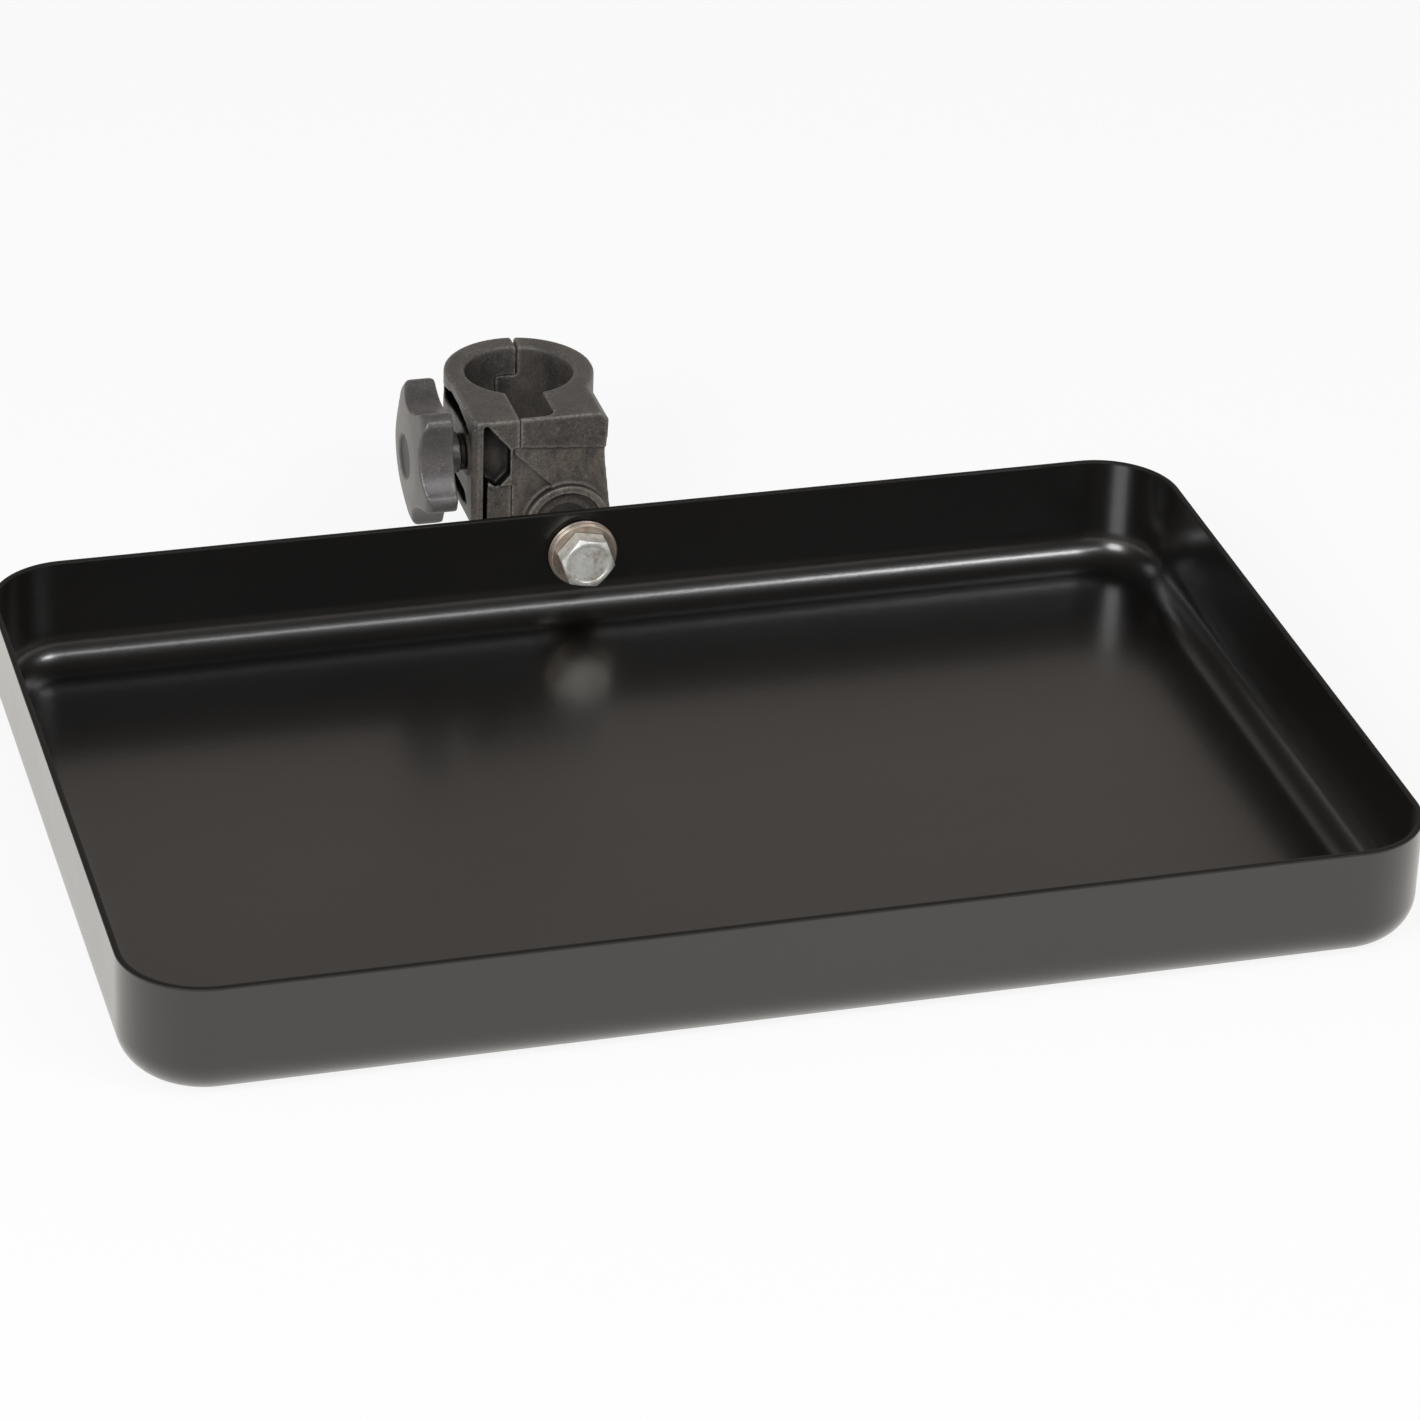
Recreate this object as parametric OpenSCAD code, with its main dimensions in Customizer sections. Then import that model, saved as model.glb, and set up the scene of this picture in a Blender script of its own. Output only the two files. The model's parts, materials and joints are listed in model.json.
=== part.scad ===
// Side tray for a fishing platform. A tray drawn from one sheet of steel is
// bolted through its back wall to a moulded clamp, which closes on one
// upright tube of the platform. X runs along the tray, Y to its back and Z up.
// The origin is the centre of the tray's underside.

/* [Tray] */
// Length of the tray at its rim, outside
tray_length = 320; // [220:1:420]
// Depth of the tray at its rim, outside
tray_depth = 214; // [150:1:300]
// Height of the tray
tray_height = 31; // [28:0.5:50]
// Radius of the four upright corners, outside
corner_radius = 21; // [16:0.5:40]
// Radius where the walls turn into the floor, outside
floor_fillet = 10.6; // [6:0.1:14]
// Thickness of the coated sheet
sheet = 1.5; // [1:0.1:2.5]
// Bevel on the two edges of the rim
rim_bevel = 0.4; // [0.2:0.05:0.45]

/* [Tray bolt] */
// Thread diameter of the bolt that holds the tray to the clamp
bolt_d = 8; // [8:0.5:8.5]
// Length of the bolt under its head
bolt_length = 30; // [29.5:0.5:34]
// Width across the flats of the bolt's head and of its nut
bolt_af = 13; // [12:0.5:14]
// Height of the bolt's head
bolt_head_h = 5.3; // [4:0.1:7]
// Turn of the head's flats from level
bolt_head_turn = 49; // [0:1:59]
// Depth of the round dish in the head's face
bolt_dish = 0.25; // [0.1:0.05:0.5]
// Height of the bolt's nut
bolt_nut_h = 6.5; // [5:0.1:6.8]
// Outer diameter of the two washers inside the tray
washer_od = 18.4; // [17:0.1:20]
// Thickness of each washer
washer_t = 1.3; // [1:0.1:2]
// Worn bevel round each washer
washer_edge = 0.5; // [0.2:0.05:0.6]
// Outer diameter of the spacer bush between the tray and the clamp
bush_od = 12; // [11:0.1:14]
// Free space between the tray's back wall and the clamp's round boss
stand_off = 13.4; // [12:0.1:16]

/* [Clamp] */
// Bore of the closed clamp
leg_bore = 29; // [25:0.5:30]
// Wall of the clamp's ring
ring_wall = 5.7; // [5:0.1:7]
// Height of the clamp's ring
ring_height = 31; // [29:0.5:40]
// Distance from the bolt's axis up to the clamp's top
clamp_rise = 32.2; // [30:0.1:36]
// How far the bore lies to the left of the bolt
clamp_shift = 6.2; // [5:0.1:7]
// Bevel round the top of the bore
bore_bevel = 0.8; // [0.3:0.1:1.5]
// Width of the slot between the body and the jaw
slot_width = 10; // [9:0.1:11]
// How far the slot's left side lies to the left of the bore's middle
slot_side = 7; // [6:0.1:7.5]
// Height of the plain band across the clamp's front
band_height = 8.5; // [7:0.1:10]
// How much lower the band's edge lies at its right end
band_fall = 2; // [0:0.1:3]
// Depth of the step under the band
band_step = 0.8; // [0.4:0.1:1.2]
// Thickness of the thin wall that closes the slot at the front
web = 1.5; // [1.2:0.1:2]
// Outer radius of the round boss that the tray bolts to
boss_radius = 11.7; // [11:0.1:12.5]
// Width of the raised lip round the boss
boss_lip = 2.3; // [1.5:0.1:2.5]
// Depth of the socket inside the lip
socket_depth = 1.8; // [1:0.1:2.5]
// Depth of the boss from its lip to its back
boss_depth = 13.4; // [13:0.1:14]
// Distance from the bolt's axis to the right side of the body's block
block_side = 11.2; // [10:0.1:11.7]

/* [Jaw] */
// Length of each outer knuckle of the hinge
knuckle_length = 9; // [7:0.5:11]
// Diameter of the hinge pin
pin_d = 3; // [2.5:0.1:3.2]
// Thickness left over the pin at the top, where its hole ends
pin_cover = 1.5; // [1.2:0.1:3]
// Width of a knuckle along the split
knuckle_width = 5.6; // [5:0.1:6.5]
// Depth of the hollows in the jaw's outer side
side_hollow = 3.6; // [1:0.1:3.8]
// Depth of the hollow in the jaw's front
front_hollow = 3.4; // [1:0.1:3.4]

/* [Knob] */
// Thread diameter of the stud that closes the clamp
stud_d = 6; // [5:0.5:6]
// Distance from the clamp's front face back to the stud
stud_set_back = 9.4; // [9:0.1:12]
// Distance from the stud back to the bore's middle
stud_forward = 21; // [20.5:0.1:21.5]
// Distance from the clamp's top down to the stud
stud_drop = 12.4; // [12:0.1:13]
// Width across the flats of the stud's nut
stud_nut_af = 10; // [9:0.5:10.5]
// Height of the stud's nut
stud_nut_h = 5; // [4:0.1:6]
// Outer diameter of the washer under the knob
thrust_od = 10; // [9:0.5:12.5]
// Thickness of the washer under the knob
thrust_t = 1.6; // [1:0.1:2]
// Diameter of the knob over its lobes
knob_od = 40.8; // [37:0.2:44]
// Thickness of the knob's grip
knob_grip = 11; // [9:0.5:14]
// Length of the hub between the grip and the washer
knob_hub = 3.9; // [2:0.1:6]
// Number of lobes on the knob
lobes = 5; // [3:1:8]
// Depth of the hollow between two lobes, from the lobes' tips
scallop_depth = 6.1; // [3:0.1:7]
// Radius of the lobes' rounded tips
lobe_round = 3; // [2:0.1:3.5]
// Turn of the first lobe above the knob's front
lobe_turn = 53; // [0:1:71]
// How far the knob's crowned face falls away at the lobes' tips
knob_crown = 3; // [1:0.1:4]

/* [Clearances] */
// Between the bolt and the holes it passes through, radially
bolt_clear = 0.25; // [0.1:0.05:0.5]
// Between a thread and its nut, radially
thread_clear = 0.05; // [0.02:0.01:0.1]
// Between faces that are clamped together
seat_clear = 0.02; // [0.01:0.01:0.05]
// Between a nut and its pocket, on each flat
pocket_clear = 0.15; // [0.05:0.05:0.3]
// Between the hinge pin and the jaw's knuckles, radially
pin_clear = 0.05; // [0.02:0.01:0.1]
// Between the jaw and the body round the hinge
hinge_clear = 0.4; // [0.2:0.05:0.6]
// Between the closed jaw and the body at the front
jaw_clear = 0.15; // [0.1:0.05:0.5]
// Between the stud and the holes it passes through, radially
stud_clear = 0.4; // [0.2:0.05:0.6]
// How far the stud's hole in the jaw is lengthened so that the jaw can swing
swing_room = 2; // [1.5:0.1:2.5]

/* [Hidden] */
$fn = 96;
over = 1;
far = 60;

wall_y = tray_depth / 2;
inner_y = wall_y - sheet;
bolt_r = bolt_d / 2;
washer_r = washer_od / 2;
// The washers' flat faces just clear the fillet between the wall and the floor
bolt_z = floor_fillet + washer_r - washer_edge;
under_head_y = inner_y - 2 * washer_t - 3 * seat_clear;
bolt_tip_y = under_head_y + bolt_length;
boss_y = wall_y + stand_off;
socket_y = boss_y + socket_depth;
boss_back_y = boss_y + boss_depth;
nut_y = bolt_tip_y - bolt_nut_h - 0.4;

leg_r = leg_bore / 2;
ring_r = leg_r + ring_wall;
clamp_x = -clamp_shift;
clamp_top = bolt_z + clamp_rise;
ring_z = clamp_top - ring_height;
band_z = clamp_top - band_height;
front_y = boss_y + 1.2;
stud_y = front_y + stud_set_back;
clamp_y = stud_y + stud_forward;
step_y = front_y + band_step;
recess_y = step_y + band_step;
slot_left = clamp_x - slot_side;
slot_right = slot_left + slot_width;
// Under the band the joint between jaw and body lies further left
low_split = slot_left - 1.8;
jaw_side = clamp_x - ring_r + 0.5;

pin_r = pin_d / 2;
hinge_x = clamp_x;
hinge_y = clamp_y + leg_r + ring_wall / 2;
knuckle_left = hinge_x - knuckle_width / 2;
knuckle_right = hinge_x + knuckle_width / 2;
knuckle_low = ring_z + knuckle_length;
knuckle_high = clamp_top - knuckle_length;

stud_r = stud_d / 2;
stud_z = clamp_top - stud_drop;
thrust_r = thrust_od / 2;
jaw_boss_x = jaw_side - 0.6;
thrust_x = jaw_boss_x - seat_clear;
hub_x = thrust_x - thrust_t - seat_clear;
grip_x = hub_x - knob_hub;
knob_face_x = grip_x - knob_grip;
knob_r = knob_od / 2;
stud_nut_x = slot_right + 5.6;
stud_tip_x = stud_nut_x + stud_nut_h + 0.6;

// A cylinder along Y from y0 to y1 through x, z
module along_y(r, y0, y1, x = 0, z = bolt_z) {
    translate([x, y0, z]) rotate([-90, 0, 0]) cylinder(r = r, h = y1 - y0);
}

// A cylinder along X from x0 to x1 on the stud's axis
module on_stud(r, x0, x1) {
    translate([x0, stud_y, stud_z]) rotate([0, 90, 0]) cylinder(r = r, h = x1 - x0);
}

// An upright cylinder from z0 to z1 through x, y
module upright(r, z0, z1, x = clamp_x, y = clamp_y) {
    translate([x, y, z0]) cylinder(r = r, h = z1 - z0);
}

// A box between two corners
module span(low, high) {
    translate(low) cube(high - low);
}

// A flat outline in X and Z, thickened from y0 to y1
module front_plate(points, y0, y1) {
    translate([0, y1, 0]) rotate([90, 0, 0]) linear_extrude(height = y1 - y0) polygon(points);
}

// A flat outline in Y and Z, thickened from x0 to x1
module side_plate(points, x0, x1) {
    translate([x0, 0, 0]) rotate([90, 0, 90]) linear_extrude(height = x1 - x0) polygon(points);
}

// A hexagonal prism along Z, measured across its flats
module hexagon(across_flats, height) {
    cylinder(r = across_flats / 2 / cos(30), h = height, $fn = 6);
}

// Section of the tray's wall: floor, fillet and upright side, out from a corner's centre
module wall_section(floor_length) {
    turn = floor_length - floor_fillet;
    inside = floor_length - sheet;
    square([turn, sheet]);
    polygon([[inside, floor_fillet], [floor_length, floor_fillet], [floor_length, tray_height - rim_bevel],
             [floor_length - rim_bevel, tray_height], [inside + rim_bevel, tray_height],
             [inside, tray_height - rim_bevel]]);
    intersection() {
        translate([turn, floor_fillet]) difference() {
            circle(r = floor_fillet);
            circle(r = floor_fillet - sheet);
        }
        translate([turn, 0]) square([floor_fillet, floor_fillet]);
    }
}

// One straight wall of the tray, with the strip of floor that it turns into
module straight_wall(run, out, turned) {
    rotate([0, 0, turned])
        translate([out - corner_radius, -run / 2, 0])
            translate([0, run, 0]) rotate([90, 0, 0])
                linear_extrude(height = run) wall_section(corner_radius);
}

module tray() {
    half_length = tray_length / 2 - corner_radius;
    half_depth = tray_depth / 2 - corner_radius;
    color([0.09, 0.085, 0.085]) difference() {
        union() {
            span([-half_length, -half_depth, 0], [half_length, half_depth, sheet]);
            for (turned = [0, 180])
                straight_wall(2 * half_depth, tray_length / 2, turned);
            for (turned = [90, 270])
                straight_wall(2 * half_length, tray_depth / 2, turned);
            for (corner = [[1, 1, 0], [-1, 1, 90], [-1, -1, 180], [1, -1, 270]])
                translate([corner[0] * half_length, corner[1] * half_depth, 0])
                    rotate([0, 0, corner[2]])
                        rotate_extrude(angle = 90) wall_section(corner_radius);
        }
        along_y(bolt_r + bolt_clear, inner_y - over, wall_y + over);
    }
}

// Hexagon bolt: the head's corners are turned off by a shallow cone, and its face is dished
module tray_bolt() {
    head_r = bolt_af / 2;
    corner_r = head_r / cos(30);
    face_r = 0.95 * head_r;
    dish_r = 0.84 * head_r;
    drop = (corner_r - face_r) * tan(30);
    color([0.78, 0.79, 0.78]) {
        translate([0, under_head_y, bolt_z]) rotate([90, 0, 0]) rotate([0, 0, bolt_head_turn])
            intersection() {
                hexagon(bolt_af, bolt_head_h);
                rotate_extrude() polygon([[0, 0], [corner_r, 0], [corner_r, bolt_head_h - drop],
                                          [face_r, bolt_head_h], [dish_r, bolt_head_h],
                                          [dish_r - bolt_dish, bolt_head_h - bolt_dish],
                                          [0, bolt_head_h - bolt_dish]]);
            }
        translate([0, under_head_y, bolt_z]) rotate([-90, 0, 0])
            rotate_extrude() polygon([[0, 0], [bolt_r, 0], [bolt_r, bolt_length - 0.8],
                                      [bolt_r - 0.8, bolt_length], [0, bolt_length]]);
    }
}

// A flat washer along Z with a worn bevel on both sides
module washer(outer_r, hole_r, thickness, edge) {
    rotate_extrude() polygon([[hole_r, 0], [outer_r - edge, 0], [outer_r, edge],
                              [outer_r, thickness - edge], [outer_r - edge, thickness],
                              [hole_r, thickness]]);
}

module wall_washer() {
    color([0.62, 0.57, 0.53])
        translate([0, inner_y - seat_clear, bolt_z]) rotate([90, 0, 0])
            washer(washer_r, bolt_r + bolt_clear, washer_t, washer_edge);
}

module head_washer() {
    color([0.66, 0.6, 0.55])
        translate([0, inner_y - washer_t - 2 * seat_clear, bolt_z]) rotate([90, 0, 0])
            washer(washer_r, bolt_r + bolt_clear, washer_t, washer_edge);
}

module spacer_bush() {
    color([0.12, 0.12, 0.12]) difference() {
        along_y(bush_od / 2, wall_y + seat_clear, socket_y - seat_clear);
        along_y(bolt_r + bolt_clear, wall_y - over, socket_y + over);
    }
}

// A nut along Z, with both faces' corners turned off
module nut(across_flats, height, thread_r) {
    flat_r = across_flats / 2;
    corner_r = flat_r / cos(30);
    drop = (corner_r - flat_r) * tan(30);
    difference() {
        intersection() {
            hexagon(across_flats, height);
            rotate_extrude() polygon([[0, 0], [flat_r, 0], [corner_r, drop], [corner_r, height - drop],
                                      [flat_r, height], [0, height]]);
        }
        translate([0, 0, -over]) cylinder(r = thread_r + thread_clear, h = height + 2 * over);
    }
}

module bolt_nut() {
    color([0.7, 0.71, 0.7])
        translate([0, nut_y, bolt_z]) rotate([-90, 0, 0]) nut(bolt_af, bolt_nut_h, bolt_r);
}

module stud_nut() {
    color([0.7, 0.71, 0.7])
        translate([stud_nut_x, stud_y, stud_z]) rotate([0, 90, 0]) nut(stud_nut_af, stud_nut_h, stud_r);
}

// Everything of the bore that both halves of the ring are cut by
module leg_space() {
    upright(leg_r, ring_z - far, clamp_top + over);
    translate([clamp_x, clamp_y, clamp_top - bore_bevel])
        cylinder(r1 = leg_r, r2 = leg_r + bore_bevel + over, h = bore_bevel + over);
}

// The ring's full form, with a worn bevel round its two outer edges
module ring_form() {
    bevel = 0.35;
    translate([clamp_x, clamp_y, ring_z]) rotate_extrude()
        polygon([[0, 0], [ring_r - bevel, 0], [ring_r, bevel], [ring_r, ring_height - bevel],
                 [ring_r - bevel, ring_height], [0, ring_height]]);
}

// A slice through the wall at the hinge, from x0 to x1 and z0 to z1
module hinge_space(x0, x1, z0, z1) {
    span([x0, clamp_y + leg_r - over, z0], [x1, clamp_y + ring_r + over, z1]);
}

// The small V at the top of the joint beside the hinge
module joint_notch() {
    joint_x = knuckle_right + hinge_clear / 2;
    width = 1.1;
    front_plate([[joint_x - width, clamp_top + over / 2], [joint_x, clamp_top - width],
                 [joint_x + width, clamp_top + over / 2]], clamp_y + leg_r - over, clamp_y + ring_r + over);
}

// Front block of the body: its right side leans in and its top edge is bevelled
module body_block() {
    side_low = block_side - 0.6;
    front_plate([[slot_left + jaw_clear, band_z], [side_low, band_z - band_fall],
                 [block_side, clamp_top - 2.4], [block_side - 2.2, clamp_top],
                 [slot_left + jaw_clear, clamp_top]], front_y, clamp_y);
    front_plate([[low_split + jaw_clear, ring_z], [side_low, ring_z], [side_low, band_z],
                 [low_split + jaw_clear, band_z]], recess_y, clamp_y);
}

// Plate under the band, which narrows to the left and spreads to the round boss on the right
module body_neck() {
    front_plate([[low_split + jaw_clear, band_z], [low_split + jaw_clear + 1, band_z - 2.6],
                 [-3.4, bolt_z + boss_radius - 1], [0, bolt_z], [boss_radius + 0.8, bolt_z],
                 [block_side - 0.9, band_z - band_fall - 1.8], [block_side - 0.6, band_z]],
                step_y, boss_back_y);
}

// The slot is wide above; below the band it goes on to where the jaw's lower half ends
module body_slot() {
    corner = 3;
    difference() {
        span([low_split - over, front_y + web, band_z - over],
             [slot_right, clamp_y, clamp_top + over]);
        difference() {
            span([slot_right - corner, front_y, band_z - 2 * over],
                 [slot_right + over, front_y + web + corner, clamp_top + 2 * over]);
            upright(corner, band_z - 3 * over, clamp_top + 3 * over,
                    slot_right - corner, front_y + web + corner);
        }
    }
    span([low_split - over, recess_y + web, ring_z - over], [slot_right, clamp_y, band_z]);
}

module clamp_body() {
    color([0.17, 0.165, 0.16]) difference() {
        union() {
            difference() {
                union() {
                    intersection() {
                        ring_form();
                        span([knuckle_left, clamp_y - far, ring_z], [far, clamp_y + far, clamp_top]);
                    }
                    body_block();
                    body_neck();
                }
                body_slot();
            }
            along_y(boss_radius, boss_y, boss_back_y);
        }
        leg_space();
        // Room above and below the body's knuckle for the jaw's two
        for (reach = [[ring_z - over, knuckle_low], [knuckle_high, clamp_top + over]])
            hinge_space(knuckle_left - over, knuckle_right + hinge_clear, reach[0], reach[1]);
        upright(pin_r + seat_clear, ring_z - over, clamp_top + over, hinge_x, hinge_y);
        joint_notch();
        // Socket, bolt hole and the nut's pocket in the round boss
        along_y(boss_radius - boss_lip, boss_y - over, socket_y);
        along_y(bolt_r + bolt_clear, boss_y, boss_back_y + over);
        translate([0, nut_y - seat_clear, bolt_z]) rotate([-90, 0, 0])
            hexagon(bolt_af + 2 * pocket_clear, far);
        // Stud hole and the pocket for its nut, open to the right
        on_stud(stud_r + stud_clear, slot_right - over, stud_nut_x + over);
        translate([stud_nut_x - seat_clear, stud_y, stud_z]) rotate([0, 90, 0])
            hexagon(stud_nut_af + 2 * pocket_clear, far);
    }
}

// Outline of the hollow in the jaw's front, a tall hexagon with a slanting top
function front_hollow_outline(left, right, mid) =
    [[left, mid + 11], [left + 1, mid + 11], [right, mid + 3.6], [right, mid - 3.6],
     [right - 3.4, mid - 7.4], [left, mid - 4]];

// The jaw's front block with a bevel down its left corner, from z0 to z1
module jaw_block(right, z0, z1) {
    translate([0, 0, z0]) linear_extrude(height = z1 - z0)
        polygon([[jaw_side, clamp_y], [jaw_side, front_y + 1.5], [jaw_side + 1.5, front_y],
                 [right, front_y], [right, clamp_y]]);
}

// Hollows in the jaw's front, beside the front strip and in the outer side
module jaw_hollows() {
    left_strip = jaw_side + 3;
    hollow_x = jaw_side + side_hollow;
    front_plate(front_hollow_outline(left_strip, low_split - 0.7, stud_z),
                front_y - over, front_y + front_hollow);
    span([left_strip, front_y - over, ring_z - over], [low_split + over, front_y + 1.2, stud_z - 6.8]);
    span([left_strip, front_y - over, ring_z - over], [left_strip + 1, front_y + 3.5, stud_z - 4]);
    side_plate([[stud_y - 4.5, clamp_top - 6.2], [stud_y, clamp_top - 4.2],
                [stud_y + 8, clamp_top - 3], [clamp_y - 4, clamp_top - 3],
                [clamp_y + 6, clamp_top - 5], [clamp_y + 6, clamp_top - 8],
                [stud_y + 8, clamp_top - 7]], jaw_side - over, hollow_x);
    side_plate([[stud_y - 2.5, ring_z + 3.6], [stud_y, ring_z + 6.2],
                [stud_y + 5, ring_z + 6.6], [clamp_y + 6, ring_z + 6.6],
                [clamp_y + 6, ring_z + 2.6], [stud_y + 3, ring_z + 2.4]], jaw_side - over, hollow_x);
}

module clamp_jaw() {
    play = hinge_clear / 2;
    hole_r = stud_r + stud_clear;
    flat = 0.1;
    color([0.17, 0.165, 0.16]) difference() {
        union() {
            difference() {
                union() {
                    intersection() {
                        ring_form();
                        union() {
                            span([clamp_x - far, clamp_y - far, ring_z], [slot_left, clamp_y, clamp_top]);
                            span([clamp_x - far, clamp_y, ring_z],
                                 [knuckle_right, clamp_y + far, clamp_top]);
                        }
                    }
                    jaw_block(slot_left, band_z, clamp_top);
                    jaw_block(low_split, ring_z, band_z);
                }
                jaw_hollows();
            }
            on_stud(thrust_r + 1.6, jaw_boss_x, jaw_side + side_hollow);
        }
        leg_space();
        hinge_space(knuckle_left - hinge_clear, knuckle_right + over,
                    knuckle_low - play, knuckle_high + play);
        upright(pin_r + pin_clear, ring_z - over, clamp_top - pin_cover, hinge_x, hinge_y);
        joint_notch();
        // The stud's hole is longer than it is high, so that the jaw can swing past the stud
        for (shift = [0, swing_room])
            translate([0, -shift, 0]) on_stud(hole_r, jaw_boss_x - over, slot_left + over);
        span([jaw_boss_x - over, stud_y - swing_room, stud_z - hole_r + flat],
             [slot_left + over, stud_y, stud_z + hole_r - flat]);
    }
}

module hinge_pin() {
    end_gap = 0.3;
    color([0.6, 0.6, 0.6])
        upright(pin_r, ring_z + end_gap, clamp_top - pin_cover - end_gap, hinge_x, hinge_y);
}

module thrust_washer() {
    color([0.7, 0.7, 0.68])
        translate([thrust_x - thrust_t, stud_y, stud_z]) rotate([0, 90, 0])
            washer(thrust_r, stud_r + thread_clear, thrust_t, 0.3);
}

module knob_stud() {
    color([0.78, 0.79, 0.78])
        translate([grip_x - knob_grip / 2, stud_y, stud_z]) rotate([0, 90, 0]) {
            length = stud_tip_x - grip_x + knob_grip / 2;
            rotate_extrude() polygon([[0, 0], [stud_r, 0], [stud_r, length - 0.6],
                                      [stud_r - 0.6, length], [0, length]]);
        }
}

// Outline of the knob: round lobes joined by hollows that run smoothly into them
module knob_outline() {
    half = 180 / lobes;
    waist = knob_r - scallop_depth;
    tip_x = knob_r - lobe_round;
    // The hollow's radius follows from its circle touching the tips' circles
    scallop_r = (tip_x * tip_x + waist * waist - lobe_round * lobe_round - 2 * tip_x * waist * cos(half))
              / (2 * (lobe_round - waist + tip_x * cos(half)));
    scallop_x = waist + scallop_r;
    difference() {
        polygon([for (i = [0 : 2 * lobes - 1])
            (i % 2 == 0 ? tip_x : scallop_x) * [cos(i * half), sin(i * half)]]);
        for (i = [0 : lobes - 1])
            rotate([0, 0, (2 * i + 1) * half]) translate([scallop_x, 0]) circle(r = scallop_r);
    }
    for (i = [0 : lobes - 1])
        rotate([0, 0, 2 * i * half]) translate([tip_x, 0]) circle(r = lobe_round + 0.05);
}

// The grip's outer face is crowned, with a round dimple in the middle
module knob() {
    dimple_r = 6.4;
    dimple_depth = 1.2;
    edge = 1.6;
    crown_r = (knob_r * knob_r + knob_crown * knob_crown) / (2 * knob_crown);
    color([0.2, 0.2, 0.2])
        translate([knob_face_x, stud_y, stud_z]) rotate([0, 90, 0]) difference() {
            union() {
                intersection() {
                    rotate([0, 0, 270 - lobe_turn]) linear_extrude(height = knob_grip) knob_outline();
                    rotate_extrude() intersection() {
                        translate([0, crown_r]) circle(r = crown_r, $fn = 400);
                        polygon([[0, 0], [knob_r - 2 * edge, knob_crown - edge], [knob_r, knob_crown + edge / 2],
                                 [knob_r, knob_grip - edge / 2], [knob_r - edge / 2, knob_grip],
                                 [0, knob_grip]]);
                    }
                }
                translate([0, 0, knob_grip]) cylinder(r = thrust_r + 0.6, h = knob_hub);
            }
            translate([0, 0, -over]) cylinder(r = dimple_r, h = over + dimple_depth);
            translate([0, 0, knob_grip / 2]) cylinder(r = stud_r + seat_clear, h = far);
        }
}

tray();
tray_bolt();
head_washer();
wall_washer();
spacer_bush();
bolt_nut();
clamp_body();
clamp_jaw();
hinge_pin();
stud_nut();
thrust_washer();
knob_stud();
knob();
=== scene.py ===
import json
import math
import bmesh
import bpy
from mathutils import Matrix, Vector, noise


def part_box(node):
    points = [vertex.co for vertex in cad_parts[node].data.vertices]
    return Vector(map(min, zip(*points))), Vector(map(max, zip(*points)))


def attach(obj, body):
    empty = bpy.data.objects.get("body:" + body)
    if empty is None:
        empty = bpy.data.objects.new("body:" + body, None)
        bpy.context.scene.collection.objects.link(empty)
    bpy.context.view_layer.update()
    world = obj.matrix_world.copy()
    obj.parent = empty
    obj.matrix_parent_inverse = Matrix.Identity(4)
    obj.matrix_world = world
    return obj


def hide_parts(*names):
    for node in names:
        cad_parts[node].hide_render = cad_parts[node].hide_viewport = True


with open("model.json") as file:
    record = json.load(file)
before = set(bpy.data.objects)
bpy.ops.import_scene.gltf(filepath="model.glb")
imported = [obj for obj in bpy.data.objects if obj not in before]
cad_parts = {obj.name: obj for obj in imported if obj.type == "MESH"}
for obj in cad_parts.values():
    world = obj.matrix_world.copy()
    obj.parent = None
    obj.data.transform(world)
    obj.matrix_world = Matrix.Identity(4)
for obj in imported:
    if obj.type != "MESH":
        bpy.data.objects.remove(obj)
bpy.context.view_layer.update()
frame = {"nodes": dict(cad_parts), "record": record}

nodes = frame["nodes"]
bodies = frame["record"]["behaviour"]["bodies"]
bodyOf = {name: body for body, names in bodies.items() for name in names}


def linkNew(name, mesh):
    made = bpy.data.objects.new(name, mesh)
    bpy.context.scene.collection.objects.link(made)
    return made


def meshFrom(name, bm):
    bmesh.ops.recalc_face_normals(bm, faces=bm.faces)
    for face in bm.faces:
        face.smooth = True
    mesh = bpy.data.meshes.new(name)
    bm.to_mesh(mesh)
    bm.free()
    return linkNew(name, mesh)


def standFor(piece, *names):  # the piece takes the CAD nodes' place, body and finish
    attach(piece, bodyOf[names[0]])
    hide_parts(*names)
    piece.data.materials.clear()
    piece.data.materials.append(looks[names[0]])
    return piece


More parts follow.
